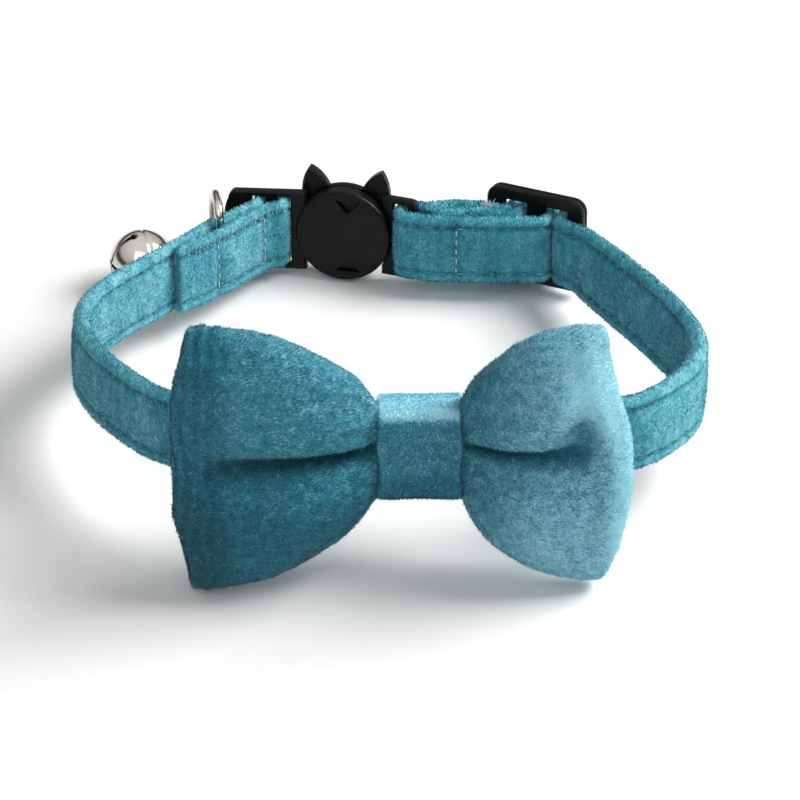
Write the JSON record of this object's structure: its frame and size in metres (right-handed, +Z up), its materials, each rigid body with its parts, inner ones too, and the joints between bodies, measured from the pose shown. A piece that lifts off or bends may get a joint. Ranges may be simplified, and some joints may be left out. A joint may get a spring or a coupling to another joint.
{
  "type": "pet bow tie collar",
  "caption": "Small pet's velvet collar with a padded bow, a release buckle with cat ears, a slider, a D-ring and a jingle bell.",
  "frame": {"origin": "middle of the collar's bounding box in plan, on the surface that it lies on", "axes": "+Z up, +X towards the wearer's side with the slider, +Y from the bow to the buckle"},
  "size_m": [0.0996, 0.0926, 0.0435],
  "materials": {
    "strap_velvet": "short pile velvet, teal",
    "bow_velvet": "short pile velvet, darker teal",
    "black_plastic": "satin moulded",
    "nickel": "polished nickel plate"
  },
  "bodies": {
    "root": {"band": "strap_velvet", "bow": "bow_velvet", "knot": "bow_velvet", "buckle_disc_half": "black_plastic", "buckle_ear_half": "black_plastic", "slider": "black_plastic", "d_ring": "nickel", "jump_ring": "nickel", "bell": "nickel", "bell_pellet": "nickel"}
  },
  "joints": []
}
